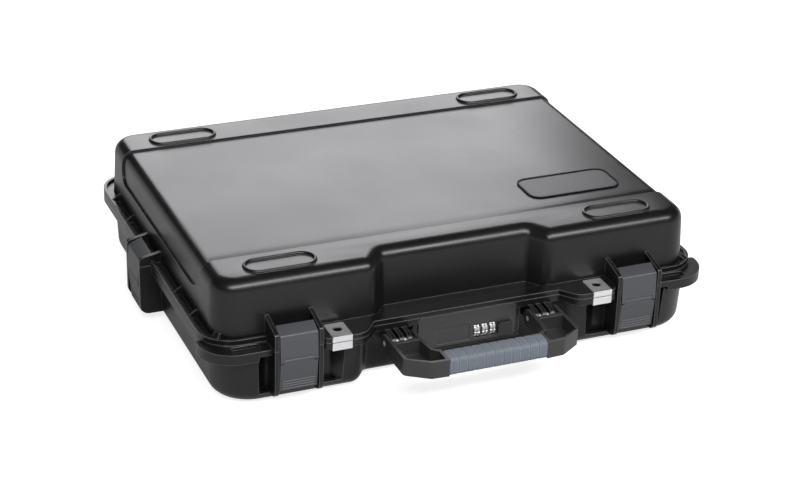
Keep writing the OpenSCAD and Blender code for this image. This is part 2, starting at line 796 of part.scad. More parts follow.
// A latch has two pieces. The hook turns on a pin in the base's ears and reaches over the lid's bar; the
// lever below it turns on a pin in the hook.
plate_of_latch = 3;
arm_t = 3;
arm_gap = 0.4;
lever_knuckle_r = 2.5;
lever_pin_r = 1.2;
lever_low_z = 18.5;
lever_pin = [-lever_knuckle_r, latch_knee_z - 0.3 - lever_knuckle_r];
module latch_pin_at(pin, r, l) {
    translate([-l / 2, -pin[0], pin[1]]) rotate([0, 90, 0]) cylinder(r = r, h = l);
}
module latch_hook() {
    z = lever_pin[1];
    color("#5b5e63") difference() {
        union() {
            across(latch_w) polygon(rounded([
                [0, latch_knee_z, 0], [-1.5, 75, 2.5], [-15, 80.6, 1], [-15, 77.4, 1],
                [-1.6 - plate_of_latch, 73.2, 1], [-plate_of_latch, latch_knee_z, 0]
            ], 4));
            both_sides() translate([(latch_w - arm_t) / 2, 0, 0]) {
                across(arm_t) polygon([
                    [-0.3, latch_knee_z + 2], [0, z], [lever_pin[0], z - lever_knuckle_r],
                    [-5.7, z - 2.8], [hook_pin[0] + hook_boss_r - 0.4, hook_pin[1]],
                    [hook_pin[0] - hook_boss_r + 0.4, hook_pin[1]], [-9, z - 1], [-7, 60], [-3.5, 68], [-2, 60]
                ]);
                latch_pin_at(hook_pin, hook_boss_r, arm_t);
                latch_pin_at(lever_pin, lever_knuckle_r, arm_t);
            }
        }
        latch_pin_at(hook_pin, latch_pin_r + run_gap, latch_w + 2);
        latch_pin_at(lever_pin, lever_pin_r + run_gap, latch_w + 2);
    }
}
module latch_lever() {
    z = lever_pin[1];
    top = z - lever_knuckle_r - arm_gap;
    lean = 3 / (latch_knee_z - lever_low_z);
    function face(h, in) = [-in - lean * (latch_knee_z - h), h];
    t = 2.6;
    inner_w = latch_w - 2 * arm_t - 2 * arm_gap;
    color("#4c4d51") difference() {
        union() {
            across(latch_w) polygon(rounded([
                [face(top, 0)[0], top, 0], [face(lever_low_z, 0)[0], lever_low_z, 1],
                [face(lever_low_z, t)[0], lever_low_z, 1], [face(top, t)[0], top, 0]
            ], 3));
            across(inner_w) polygon([face(top - 2, 0), face(top - 2, t), [lever_pin[0] - 1.5, z - 1],
                                     [lever_pin[0] + 2, z - 1]]);
            latch_pin_at(lever_pin, lever_knuckle_r, inner_w);
            for (h = [lever_low_z + 1.8 : 2.6 : lever_low_z + 10])
                latch_pin_at(face(h, 0.3), 0.8, latch_w - 5);
        }
        latch_pin_at(lever_pin, lever_pin_r + run_gap, latch_w);
    }
}
module latch_pin() {
    color("#b9bbbe") latch_pin_at(hook_pin, latch_pin_r, 2 * (ear_in + pin_seat) - 0.6);
}
module lever_pin_piece() {
    color("#b9bbbe") latch_pin_at(lever_pin, lever_pin_r, latch_w - 0.4);
}

// Steel plates round the padlock holes, folded over the flanges' edges
module padlock_plate(low, high, fold_low, fold_high) {
    color("#d5d7da") difference() {
        union() {
            translate([0, 0, low]) linear_extrude(high - low) children();
            translate([plate_x - plate_w / 2, front_y - plate_t, fold_low])
                cube([plate_w, plate_t, fold_high - fold_low]);
        }
        padlock_holes();
    }
}
module plate_outline(deep) {
    polygon(rounded([
        [plate_x - plate_w / 2, front_y - plate_t, 0], [plate_x + plate_w / 2, front_y - plate_t, 0],
        [plate_x + plate_w / 2, front_y + deep, 2], [plate_x - plate_w / 2, front_y + deep, 2]
    ]));
}
module padlock_plate_lid() {
    padlock_plate(rim_top, lid_padlock_z, lid_z + 0.2, lid_padlock_z) plate_outline(plate_d);
}
module padlock_plate_base() {
    padlock_plate(base_padlock_z, flange_z, base_padlock_z, part_z - 0.2) intersection() {
        plate_outline(plate_d - 1);
        union() {
            pocket_area(-0.4, pocket_y);
            translate([0, front_y - 5]) square([case_w / 2, base_front_in + 4.5]);
        }
    }
}

// The bare plate on the lid's panel and the black frame round it
badge_z = lid_top - panel_t;
badge_r = 12;
frame_t = 2;
module badge_outline(in) {
    x = badge_w / 2 - in;
    y = badge_d / 2 - in;
    translate([badge_x, badge_y])
        polygon(rounded([[-x, -y, badge_r - in], [x, -y, badge_r - in], [x, y, badge_r - in], [-x, y, badge_r - in]]));
}
module badge_frame() {
    color("#111214") translate([0, 0, badge_z]) linear_extrude(1.2) difference() {
        badge_outline(0);
        badge_outline(frame_t);
    }
}
module badge_plate() {
    color("#9a9a9c") translate([0, 0, badge_z]) linear_extrude(0.6) badge_outline(frame_t);
}

// Combination lock: a panel with three dials on an axle, and a slide button with its bolt
dial_first_x = 10;
dial_count = 3;
dial_slot_h = 2 * sqrt(dial_r * dial_r - 16) + 1;
axle_r = 1.5;
cheek_t = 2;
cheek_gap = 0.9;
button_x = 38.5;
stem_w = 4;
bolt_front_y = panel_back + 0.3;
nose_z = 54;
module at_panel(z) {
    translate([0, panel_back, z]) rotate([90, 0, 0]) children();
}
module lock_panel() {
    cheek_x = [dial_first_x - dial_w / 2 - cheek_gap - cheek_t,
               dial_first_x + (dial_count - 1) * dial_pitch + dial_w / 2 + cheek_gap];
    color("#3a3b3e") difference() {
        union() {
            at_panel(lock_z) linear_extrude(panel_back - lock_y) polygon(rounded([
                [-lock_w / 2, -lock_h / 2, 3], [lock_w / 2, -lock_h / 2, 3],
                [lock_w / 2, lock_h / 2, 3], [-lock_w / 2, lock_h / 2, 3]
            ]));
            for (x = cheek_x) translate([x, panel_back - 0.5, dial_z - 4]) cube([cheek_t, 13, 8]);
        }
        at_panel(lock_z) translate([-31, -14, 1.2]) linear_extrude(5) polygon(rounded([
            [0, 0, 2], [34, 0, 2], [34, 17, 2], [0, 17, 2]
        ]));
        for (i = [0 : dial_count - 1]) translate([dial_first_x + i * dial_pitch - dial_w / 2 - 0.4, lock_y - 1,
                                                  dial_z - dial_slot_h / 2])
            cube([dial_w + 0.8, 4, dial_slot_h]);
        translate([button_x - 0.4, lock_y - 1, dial_z - stem_w / 2 - 0.4])
            cube([stem_w + button_travel + 0.8, 4, stem_w + 0.8]);
        translate([0, dial_y, dial_z]) rotate([0, 90, 0]) cylinder(r = axle_r + run_gap, h = 40);
    }
}
module dial_axle() {
    from = dial_first_x - dial_w / 2 - cheek_gap - cheek_t + 0.2;
    to = dial_first_x + (dial_count - 1) * dial_pitch + dial_w / 2 + cheek_gap + cheek_t - 0.2;
    color("#b9bbbe") translate([from, dial_y, dial_z]) rotate([0, 90, 0]) cylinder(r = axle_r, h = to - from);
}
module dial(i) {
    color("#c9cbce") translate([dial_first_x + i * dial_pitch - dial_w / 2, dial_y, dial_z]) rotate([0, 90, 0])
        difference() {
            cylinder(r = dial_r, h = dial_w);
            translate([0, 0, -1]) cylinder(r = axle_r + run_gap, h = dial_w + 2);
            for (k = [0 : 9]) rotate([0, 0, 36 * k + 18]) translate([dial_r + 0.5, 0, -1])
                cylinder(r = 1.1, h = dial_w + 2, $fn = 24);
        }
}
module lock_button() {
    color("#2d2e31") {
        at_panel(dial_z) translate([0, 0, panel_back - lock_y + 0.3]) linear_extrude(4) polygon(rounded([
            [button_x - 8, -6.5, 2], [button_x + 6.5, -6.5, 2], [button_x + 6.5, 6.5, 2], [button_x - 8, 6.5, 2]
        ]));
        translate([button_x, lock_y - 1, dial_z - stem_w / 2]) cube([stem_w, bolt_front_y - lock_y + 1, stem_w]);
    }
}
module lock_bolt() {
    color("#b9bbbe") {
        translate([button_x, bolt_front_y, dial_z - 3]) cube([5, 9.7, nose_z + 2 - dial_z + 3]);
        translate([striker_x - striker_t / 2 - 0.6, striker_y - 2, nose_z - 1.5])
            cube([button_x - striker_x + striker_t / 2 + 1.6, 4, 3]);
    }
}
module lid_striker() {
    color("#b9bbbe") difference() {
        striker_body(0, striker_low, rim_top - 0.6);
        translate([striker_x - 5, striker_y - 2.6, nose_z - 2.1]) cube([10, 5.2, 4.2]);
    }
}

// The handle, about its pivot: forks at both ends, open-topped arms and a bar inside the grip
fork_wall = 3;
cross_y = -15;
bar_r = 5;
grip_d = 20;
grip_h = 18;
grip_y = grip_d / 2 - handle_reach;
grip_ribs = 11;
grip_groove = 0.5;
grip_edge_r = 4.5;
module at_handle() {
    translate([0, handle_y, pivot_z]) children();
}
module arm_area(in) {
    end_x = grip_l / 2;
    polygon(rounded([
        [arm_out_x - in, cross_y - (in > 0 ? in : -1), in > 0 ? 1.5 : 0],
        [arm_out_x - in, 15 - handle_reach, 6 - in],
        [end_x + 17, 1 - handle_reach + in, 6 - in],
        [end_x + in, -handle_reach + in, in > 0 ? 1.5 : 0],
        [end_x + in, grip_d - handle_reach - in, in > 0 ? 1.5 : 3],
        [arm_in_x + in - 2, grip_d + 4 - handle_reach, 3],
        [arm_in_x + in, cross_y - (in > 0 ? in : -1), in > 0 ? 1.5 : 0]
    ]));
}
module handle_frame() {
    color("#1f2022") at_handle() difference() {
        union() {
            both_sides() {
                translate([0, 0, -handle_h / 2]) linear_extrude(handle_h) arm_area(0);
                for (x = [arm_in_x, arm_out_x - fork_wall]) translate([x, 0, 0]) {
                    rotate([0, 90, 0]) cylinder(r = handle_h / 2, h = fork_wall);
                    translate([0, cross_y, -handle_h / 2]) cube([fork_wall, -cross_y, handle_h]);
                }
            }
            translate([-grip_l / 2 - 1, grip_y, 0]) rotate([0, 90, 0]) cylinder(r = bar_r, h = grip_l + 2);
        }
        both_sides() {
            translate([0, 0, 3 - handle_h / 2]) linear_extrude(handle_h) arm_area(fork_wall);
            translate([arm_in_x - 1, 0, 0]) rotate([0, 90, 0])
                cylinder(r = handle_pin_r + 0.02, h = arm_out_x - arm_in_x + 2);
        }
    }
}
module handle_grip() {
    module section(w, h, l) {
        rotate([90, 0, 90]) linear_extrude(l) polygon(rounded([
            [-w / 2, -h / 2, grip_edge_r], [w / 2, -h / 2, grip_edge_r],
            [w / 2, h / 2, grip_edge_r], [-w / 2, h / 2, grip_edge_r]
        ]));
    }
    pitch = grip_l / grip_ribs;
    color("#6b737d") at_handle() translate([-grip_l / 2, grip_y, 0]) difference() {
        union() {
            section(grip_d - 2 * grip_groove, grip_h - 2 * grip_groove, grip_l);
            for (i = [0 : grip_ribs - 1]) translate([(i + 0.1) * pitch, 0, 0]) section(grip_d, grip_h, 0.8 * pitch);
        }
        translate([-1, 0, 0]) rotate([0, 90, 0]) cylinder(r = bar_r + 0.05, h = grip_l + 2);
    }
}
module handle_pins() {
    color("#c4c6c9") at_handle() both_sides() translate([arm_in_x, 0, 0]) rotate([0, 90, 0])
        cylinder(r = handle_pin_r, h = arm_out_x - arm_in_x);
}

placed() base_shell();
placed() lid_shell();
placed() rim_seal();
placed() base_foam();
placed() lid_foam();
placed() hinge_pins();
placed() at_latch("front_left") latch_hook();  // latch_hook_front_left
placed() at_latch("front_right") latch_hook();  // latch_hook_front_right
placed() at_latch("side_left") latch_hook();  // latch_hook_side_left
placed() at_latch("side_right") latch_hook();  // latch_hook_side_right
placed() at_latch("front_left") latch_lever();  // latch_lever_front_left
placed() at_latch("front_right") latch_lever();  // latch_lever_front_right
placed() at_latch("side_left") latch_lever();  // latch_lever_side_left
placed() at_latch("side_right") latch_lever();  // latch_lever_side_right
placed() at_latch("front_left") latch_pin();  // latch_pin_front_left
placed() at_latch("front_right") latch_pin();  // latch_pin_front_right
placed() at_latch("side_left") latch_pin();  // latch_pin_side_left
placed() at_latch("side_right") latch_pin();  // latch_pin_side_right
placed() at_latch("front_left") lever_pin_piece();  // lever_pin_front_left
placed() at_latch("front_right") lever_pin_piece();  // lever_pin_front_right
placed() at_latch("side_left") lever_pin_piece();  // lever_pin_side_left
placed() at_latch("side_right") lever_pin_piece();  // lever_pin_side_right
placed() mirror([1, 0, 0]) padlock_plate_lid();  // padlock_plate_lid_left
placed() padlock_plate_lid();  // padlock_plate_lid_right
placed() mirror([1, 0, 0]) padlock_plate_base();  // padlock_plate_base_left
placed() padlock_plate_base();  // padlock_plate_base_right
placed() badge_frame();
placed() badge_plate();
placed() lock_panel();
placed() dial_axle();
placed() dial(0);  // dial_1
placed() dial(1);  // dial_2
placed() dial(2);  // dial_3
placed() lock_button();
placed() lock_bolt();
placed() lid_striker();
placed() handle_frame();
placed() handle_grip();
placed() handle_pins();
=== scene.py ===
"""Looks of the black laptop case: materials, foams, dial numbers, studio and camera."""
import math

import bmesh
import bpy
from mathutils import Matrix, Vector

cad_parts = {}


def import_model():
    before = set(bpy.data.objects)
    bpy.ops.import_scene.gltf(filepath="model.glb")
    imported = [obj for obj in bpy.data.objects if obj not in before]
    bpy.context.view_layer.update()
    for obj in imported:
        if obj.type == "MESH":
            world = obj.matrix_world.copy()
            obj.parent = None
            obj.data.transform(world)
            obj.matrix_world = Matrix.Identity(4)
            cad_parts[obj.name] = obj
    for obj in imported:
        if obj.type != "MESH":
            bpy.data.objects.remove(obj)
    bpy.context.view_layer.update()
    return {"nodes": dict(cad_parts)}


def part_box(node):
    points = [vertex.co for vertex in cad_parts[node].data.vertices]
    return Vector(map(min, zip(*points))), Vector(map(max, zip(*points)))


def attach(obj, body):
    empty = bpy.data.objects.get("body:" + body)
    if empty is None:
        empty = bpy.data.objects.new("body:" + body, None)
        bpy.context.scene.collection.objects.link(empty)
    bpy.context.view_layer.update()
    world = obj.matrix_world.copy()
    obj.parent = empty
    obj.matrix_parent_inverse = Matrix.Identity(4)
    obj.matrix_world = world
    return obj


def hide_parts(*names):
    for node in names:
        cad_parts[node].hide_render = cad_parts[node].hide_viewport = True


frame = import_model()
NODES = frame["nodes"]
MM = 0.001
SPOTS = ("front_left", "front_right", "side_left", "side_right")
SIDES = ("left", "right")
HALVES = ("lid", "base")
DIALS = (1, 2, 3)
WHITE = (1, 1, 1, 1)

# Camera: where it stands, how it is turned, and its lens
CAM_AT = Vector((-0.7163, -1.6699, 0.9569))
CAM_AZIMUTH = math.radians(-23.197)
CAM_ELEVATION = math.radians(26.622)
CAM_ROLL = math.radians(1.821)
CAM_LENS = 92.2
CAM_SENSOR = 36.0
CAM_REACH = 50


def place_camera():
    """The camera of the photograph, from its azimuth, elevation and roll."""
    a, e, r = CAM_AZIMUTH, CAM_ELEVATION, CAM_ROLL
    back = Vector((math.sin(a) * math.cos(e), -math.cos(a) * math.cos(e), math.sin(e)))
    right = Vector((math.cos(a), math.sin(a), 0))
    up = back.cross(right)
    rolled_right = right * math.cos(r) + up * math.sin(r)
    rolled_up = up * math.cos(r) - right * math.sin(r)
    turn = Matrix((rolled_right, rolled_up, back)).transposed()
    data = bpy.data.cameras.new("camera")
    data.lens = CAM_LENS
    data.sensor_width = CAM_SENSOR
    data.clip_end = CAM_REACH
    camera = bpy.data.objects.new("camera", data)
    camera.matrix_world = Matrix.Translation(CAM_AT) @ turn.to_4x4()
    bpy.context.scene.collection.objects.link(camera)
    bpy.context.scene.camera = camera


# Node trees
NOISE_LOW, NOISE_HIGH = 0.3, 0.7  # the part of a noise's range that is put to use
BEVEL_SAMPLES = 6
AO_SAMPLES = 6


def new_material(name):
    made = bpy.data.materials.new(name)
    made.use_nodes = True
    made.node_tree.nodes.clear()
    return made, made.node_tree.nodes, made.node_tree.links


def noise(nodes, links, coords, scale, detail, rough=0.5):
    made = nodes.new("ShaderNodeTexNoise")
    made.inputs["Scale"].default_value = scale
    made.inputs["Detail"].default_value = detail
    made.inputs["Roughness"].default_value = rough
    links.new(coords, made.inputs["Vector"])
    return made.outputs["Fac"]


def spread(nodes, links, value, low, high, from_low=NOISE_LOW, from_high=NOISE_HIGH):
    """A value's range mapped on another range."""
    made = nodes.new("ShaderNodeMapRange")
    made.inputs["From Min"].default_value = from_low
    made.inputs["From Max"].default_value = from_high
    made.inputs["To Min"].default_value = low
    made.inputs["To Max"].default_value = high
    links.new(value, made.inputs["Value"])
    return made.outputs["Result"]


def two_tone(nodes, links, value, dark, light):
    ramp = nodes.new("ShaderNodeValToRGB")
    ramp.color_ramp.elements[0].color = (*dark, 1)
    ramp.color_ramp.elements[1].color = (*light, 1)
    ramp.color_ramp.elements[0].position = NOISE_LOW
    ramp.color_ramp.elements[1].position = NOISE_HIGH
    links.new(value, ramp.inputs["Fac"])
    return ramp.outputs["Color"]


def shade(colour, strength):
    return tuple(min(1.0, part * strength) for part in colour)


def calc(nodes, links, operation, first, second):
    """The result of a sum on two values."""
    made = nodes.new("ShaderNodeMath")
    made.operation = operation
    links.new(first, made.inputs[0])
    links.new(second, made.inputs[1])
    return made.outputs["Value"]


def rounded_edges(nodes, radius_mm):
    """Normals that round a form's sharp edges in the light."""
    edge = nodes.new("ShaderNodeBevel")
    edge.samples = BEVEL_SAMPLES
    edge.inputs["Radius"].default_value = radius_mm * MM
    return edge.outputs["Normal"]


def relief(nodes, links, shader, height, strength, depth_mm, normal=None):
    """Fine relief on a shader, on top of the normals given."""
    bump = nodes.new("ShaderNodeBump")
    bump.inputs["Strength"].default_value = strength
    bump.inputs["Distance"].default_value = depth_mm * MM
    links.new(height, bump.inputs["Height"])
    if normal is not None:
        links.new(normal, bump.inputs["Normal"])
    links.new(bump.outputs["Normal"], shader.inputs["Normal"])


def finish_material(nodes, links, shader):
    out = nodes.new("ShaderNodeOutputMaterial")
    links.new(shader.outputs["BSDF"], out.inputs["Surface"])


# Where the painted highlight on outer edges lies:
# How far the rounded normal has turned at the middle of an edge and where the flat face begins (cosine),
# and how open an outer edge is to the air
EDGE_TURNED = (0.86, 0.995)
EDGE_OPEN = (0.45, 0.85)


def outer_edges(nodes, links, rounded, reach_mm):
    """Mask of the painted edge highlight, 1 along a form's outer edges and 0 elsewhere: where its rounded
    normal leaves the flat one.
    """
    flat = nodes.new("ShaderNodeNewGeometry").outputs["Normal"]
    dot = nodes.new("ShaderNodeVectorMath")
    dot.operation = "DOT_PRODUCT"
    links.new(rounded, dot.inputs[0])
    links.new(flat, dot.inputs[1])
    turned = spread(nodes, links, dot.outputs["Value"], 1.0, 0.0, *EDGE_TURNED)
    air = nodes.new("ShaderNodeAmbientOcclusion")
    air.samples = AO_SAMPLES
    air.inputs["Distance"].default_value = reach_mm * MM
    in_the_open = spread(nodes, links, air.outputs["AO"], 0.0, 1.0, *EDGE_OPEN)
    return calc(nodes, links, "MULTIPLY", turned, in_the_open)


# Moulded plastic: size of its clouds (per metre), change of roughness by cloud and by grain, grain's depth
CLOUDS = 9.0
CLOUD_ROUGH = 0.03
GRAIN_ROUGH = 0.04
GRAIN_DEPTH_MM = 0.05


def moulded(name, colour, rough, grain=0.35, grain_mm=0.35, edge_mm=0.5, specular=0.5, vary=0.06,
            painted_edge_highlight=None):
    """Moulded plastic or rubber: fine spark-eroded grain, cloudy gloss, edges softened, and a painted
    highlight on the outer edges.
    """
    made, nodes, links = new_material(name)
    coords = nodes.new("ShaderNodeTexCoord").outputs["Object"]
    shader = nodes.new("ShaderNodeBsdfPrincipled")
    shader.inputs["Specular IOR Level"].default_value = specular
    cloud = noise(nodes, links, coords, CLOUDS, 3.0)
    grit = noise(nodes, links, coords, 1 / (grain_mm * MM), 2.0, 0.6)
    tone = two_tone(nodes, links, cloud, shade(colour, 1 - vary), shade(colour, 1 + vary))
    rounded = rounded_edges(nodes, edge_mm)
    # Painted highlight: the colour is lightened along outer edges, standing in for light caught on their
    # rounding.
    if painted_edge_highlight:
        highlight_mix = nodes.new("ShaderNodeMix")
        highlight_mix.data_type = "RGBA"
        highlight_mix.inputs[7].default_value = (*painted_edge_highlight, 1)
        links.new(outer_edges(nodes, links, rounded, 2 * edge_mm), highlight_mix.inputs[0])
        links.new(tone, highlight_mix.inputs[6])
        tone = highlight_mix.outputs[2]
    links.new(tone, shader.inputs["Base Color"])
    wide = spread(nodes, links, cloud, rough - CLOUD_ROUGH, rough + CLOUD_ROUGH)
    fine = spread(nodes, links, grit, -GRAIN_ROUGH, GRAIN_ROUGH)
    links.new(calc(nodes, links, "ADD", wide, fine), shader.inputs["Roughness"])
    relief(nodes, links, shader, grit, grain, GRAIN_DEPTH_MM, rounded)
    finish_material(nodes, links, shader)
    return made


# Brushed metal: lines and clouds (per metre), darkest cloud, change of roughness by line, lines' depth
BRUSH_LINES = 9000.0
METAL_CLOUDS = 120.0
METAL_DARK = 0.93
BRUSH_ROUGH = 0.06
BRUSH_DEPTH_MM = 0.02


def metal(name, colour, rough, along=(1, 0.03, 0.03), brushed=0.12, edge_mm=0.2):
    """Metal with fine brushing along one axis."""
    made, nodes, links = new_material(name)
    coords = nodes.new("ShaderNodeTexCoord").outputs["Object"]
    stretch = nodes.new("ShaderNodeMapping")
    stretch.inputs["Scale"].default_value = along
    links.new(coords, stretch.inputs["Vector"])
    lines = noise(nodes, links, stretch.outputs["Vector"], BRUSH_LINES, 2.0, 0.7)
    cloud = noise(nodes, links, coords, METAL_CLOUDS, 3.0)
    shader = nodes.new("ShaderNodeBsdfPrincipled")
    shader.inputs["Metallic"].default_value = 1.0
    links.new(two_tone(nodes, links, cloud, shade(colour, METAL_DARK), colour), shader.inputs["Base Color"])
    gloss = spread(nodes, links, lines, rough - BRUSH_ROUGH, rough + BRUSH_ROUGH)
    links.new(gloss, shader.inputs["Roughness"])
    relief(nodes, links, shader, lines, brushed, BRUSH_DEPTH_MM, rounded_edges(nodes, edge_mm))
    finish_material(nodes, links, shader)
    return made


# Foam: pores and clouds (per metre), how dark a pore is and how much that counts, and the pores' depth
PORES = 900.0
FOAM_CLOUDS = 25.0
FOAM_VARY = 0.15
PORE_DARK = (0.35, 0.35, 0.35)
PORE_SHARE = 0.7
PORE_RELIEF = 0.6
PORE_DEPTH_MM = 0.4


def foam_material(name, colour):
    """Open-cell foam: pores in colour and relief."""
    made, nodes, links = new_material(name)
    coords = nodes.new("ShaderNodeTexCoord").outputs["Object"]
    pores = nodes.new("ShaderNodeTexVoronoi")
    pores.inputs["Scale"].default_value = PORES
    links.new(coords, pores.inputs["Vector"])
    cloud = noise(nodes, links, coords, FOAM_CLOUDS, 5.0)
    shader = nodes.new("ShaderNodeBsdfPrincipled")
    shader.inputs["Roughness"].default_value = 0.95
    shader.inputs["Specular IOR Level"].default_value = 0.15
    shader.inputs["Sheen Weight"].default_value = 0.25
    shader.inputs["Sheen Roughness"].default_value = 0.5
    mix = nodes.new("ShaderNodeMix")
    mix.data_type = "RGBA"
    mix.blend_type = "MULTIPLY"
    mix.inputs[0].default_value = PORE_SHARE
    tone = two_tone(nodes, links, cloud, shade(colour, 1 - FOAM_VARY), shade(colour, 1 + FOAM_VARY))
    links.new(tone, mix.inputs[6])
    links.new(two_tone(nodes, links, pores.outputs["Distance"], PORE_DARK, WHITE[:3]), mix.inputs[7])
    links.new(mix.outputs[2], shader.inputs["Base Color"])
    relief(nodes, links, shader, pores.outputs["Distance"], PORE_RELIEF, PORE_DEPTH_MM)
    finish_material(nodes, links, shader)
    return made


# Bends below this angle are shaded smooth, and corners closer than this distance are one corner
SMOOTH_BELOW = math.radians(28)
SAME_CORNER_MM = 0.002


def smooth_curves():
    """A modifier's node group: joins loose corners and shades gentle bends smooth, sharp ones sharp."""
    group = bpy.data.node_groups.new("smooth_curves", "GeometryNodeTree")
    group.interface.new_socket("Geometry", in_out="INPUT", socket_type="NodeSocketGeometry")
    group.interface.new_socket("Geometry", in_out="OUTPUT", socket_type="NodeSocketGeometry")
    nodes, links = group.nodes, group.links
    start, end = nodes.new("NodeGroupInput"), nodes.new("NodeGroupOutput")
    merge = nodes.new("GeometryNodeMergeByDistance")
    merge.inputs["Distance"].default_value = SAME_CORNER_MM * MM
    angle = nodes.new("GeometryNodeInputMeshEdgeAngle")
    gentle = nodes.new("FunctionNodeCompare")
    gentle.data_type = "FLOAT"
    gentle.operation = "LESS_THAN"
    gentle.inputs["B"].default_value = SMOOTH_BELOW
    links.new(angle.outputs["Unsigned Angle"], gentle.inputs["A"])
    faces = nodes.new("GeometryNodeSetShadeSmooth")
    faces.domain = "FACE"
    edges = nodes.new("GeometryNodeSetShadeSmooth")
    edges.domain = "EDGE"
    links.new(start.outputs[0], merge.inputs["Geometry"])
    links.new(merge.outputs["Geometry"], faces.inputs["Geometry"])
    links.new(faces.outputs["Geometry"], edges.inputs["Geometry"])
    links.new(gentle.outputs["Result"], edges.inputs["Shade Smooth"])
    links.new(edges.outputs["Geometry"], end.inputs[0])
    return group


SMOOTH = smooth_curves()


def shade_smooth(piece):
    piece.modifiers.new("smooth", "NODES").node_group = SMOOTH


def dress(name, material):
    """Gives a CAD node its material and smooth shading on its curves."""
    piece = NODES[name]
    if not piece.material_slots:
        piece.data.materials.append(material)
    for place in piece.material_slots:
        place.link = "OBJECT"
        place.material = material
    shade_smooth(piece)


# Colour and roughness of each finish, and the colour of the painted highlight on its outer edges
MATERIALS = {
    "shell": moulded("shell_plastic", (0.0058, 0.0058, 0.0062), 0.30, grain=0.2, specular=0.42,
                     edge_mm=0.9, painted_edge_highlight=(0.15, 0.15, 0.155)),
    "hook": moulded("hook_plastic", (0.053, 0.056, 0.062), 0.42, grain=0.25, edge_mm=0.4,
                    painted_edge_highlight=(0.17, 0.175, 0.185)),
    "lever": moulded("lever_plastic", (0.052, 0.054, 0.060), 0.45, grain=0.25, edge_mm=0.4,
                     painted_edge_highlight=(0.15, 0.155, 0.165)),
    "handle": moulded("handle_plastic", (0.027, 0.027, 0.028), 0.36, grain=0.2, edge_mm=0.7,
                      painted_edge_highlight=(0.11, 0.11, 0.115)),
    "grip": moulded("grip_rubber", (0.126, 0.143, 0.168), 0.55, grain=0.5, grain_mm=0.5, specular=0.35,
                    edge_mm=0.6, painted_edge_highlight=(0.40, 0.43, 0.48)),
    "lock": moulded("lock_plastic", (0.034, 0.033, 0.033), 0.36, grain=0.15, edge_mm=0.45,
                    painted_edge_highlight=(0.10, 0.10, 0.10)),
    "button": moulded("button_plastic", (0.010, 0.010, 0.011), 0.30, grain=0.1, edge_mm=0.5,
                      painted_edge_highlight=(0.08, 0.08, 0.08)),
    "rubber": moulded("seal_rubber", (0.012, 0.012, 0.012), 0.7, grain=0.3, specular=0.25),
    "frame": moulded("frame_plastic", (0.006, 0.006, 0.007), 0.45, grain=0.1, edge_mm=0.8, specular=0.08),
    "badge": metal("badge_metal", (0.031, 0.030, 0.031), 0.34),
    "steel": metal("plate_steel", (0.90, 0.90, 0.91), 0.52),
    "pin": metal("pin_steel", (0.92, 0.92, 0.93), 0.6, along=(0.03, 1, 1)),
    "dial": metal("dial_metal", (0.66, 0.66, 0.67), 0.45, along=(0.03, 1, 1)),
    "digit": moulded("digit_paint", (0.008, 0.008, 0.009), 0.5, grain=0.1),
    "foam": foam_material("foam", (0.030, 0.031, 0.034)),
}
LOOK_OF = {
    "base_shell": "shell", "lid_shell": "shell", "rim_seal": "rubber", "hinge_pins": "pin",
    "badge_frame": "frame", "badge_plate": "badge", "lock_panel": "lock", "dial_axle": "pin",
    "lock_button": "button", "lock_bolt": "pin", "lid_striker": "pin", "handle_frame": "handle",
    "handle_grip": "grip", "handle_pins": "pin",
}
for spot in SPOTS:
    LOOK_OF[f"latch_hook_{spot}"] = "hook"
    LOOK_OF[f"latch_lever_{spot}"] = "lever"
    LOOK_OF[f"latch_pin_{spot}"] = "pin"
    LOOK_OF[f"lever_pin_{spot}"] = "pin"
for side in SIDES:
    for half in HALVES:
        LOOK_OF[f"padlock_plate_{half}_{side}"] = "steel"
for number in DIALS:
    LOOK_OF[f"dial_{number}"] = "dial"
for name, look in LOOK_OF.items():
    dress(name, MATERIALS[look])


def link(name, mesh, material):
    made = bpy.data.objects.new(name, mesh)
    mesh.materials.append(material)
    bpy.context.scene.collection.objects.link(made)
    return made


def as_mesh(made):
    """The evaluated form of an object as a plain mesh."""
    graph = bpy.context.evaluated_depsgraph_get()
    return bpy.data.meshes.new_from_object(made.evaluated_get(graph))


# Numbers round the dials
DIGIT_H = 3.3 * MM
DIGIT_PROUD = 0.06 * MM
FONT_PER_HEIGHT = 1.35
DIGITS = 10


def dial_numbers(number):
    """The plain digits round one dial, as paint on its rim."""
    low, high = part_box(f"dial_{number}")
    middle = [(a + b) / 2 for a, b in zip(low, high)]
    radius = (high[2] - low[2]) / 2
    built = bmesh.new()
    for digit in range(DIGITS):
        text = bpy.data.curves.new(f"digit_{digit}", "FONT")
        text.body = str(digit)
        text.size = DIGIT_H * FONT_PER_HEIGHT
        text.align_x = "CENTER"
        text.align_y = "CENTER"
        text.extrude = DIGIT_PROUD
        text.resolution_u = 3
        holder = bpy.data.objects.new("digit", text)
        bpy.context.scene.collection.objects.link(holder)
        bpy.context.view_layer.update()
        shape = as_mesh(holder)
        turn = Matrix.Rotation(math.radians(360 / DIGITS * digit), 4, "X")
        stand = Matrix.Translation((0, -radius, 0)) @ Matrix.Rotation(math.radians(90), 4, "X")
        shape.transform(Matrix.Translation(middle) @ turn @ stand)
        built.from_mesh(shape)
        bpy.data.objects.remove(holder)
        bpy.data.meshes.remove(shape)
    mesh = bpy.data.meshes.new(f"numbers_{number}")
    built.to_mesh(mesh)
    built.free()
    piece = link(f"dial_numbers_{number}", mesh, MATERIALS["digit"])
    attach(piece, f"dial_{number}_body")


for number in DIALS:
    dial_numbers(number)


# Foams: half width, depth and slant of the hollow in front, and the outlines' corners
HOLLOW_HALF = 75 * MM
HOLLOW_DEEP = 19 * MM
HOLLOW_SLANT = 0.75
FOAM_CORNER = 25 * MM
LID_FOAM_CORNER = 15 * MM
CORNER_STEPS = 8
JOIN_WITHIN = 0.01 * MM


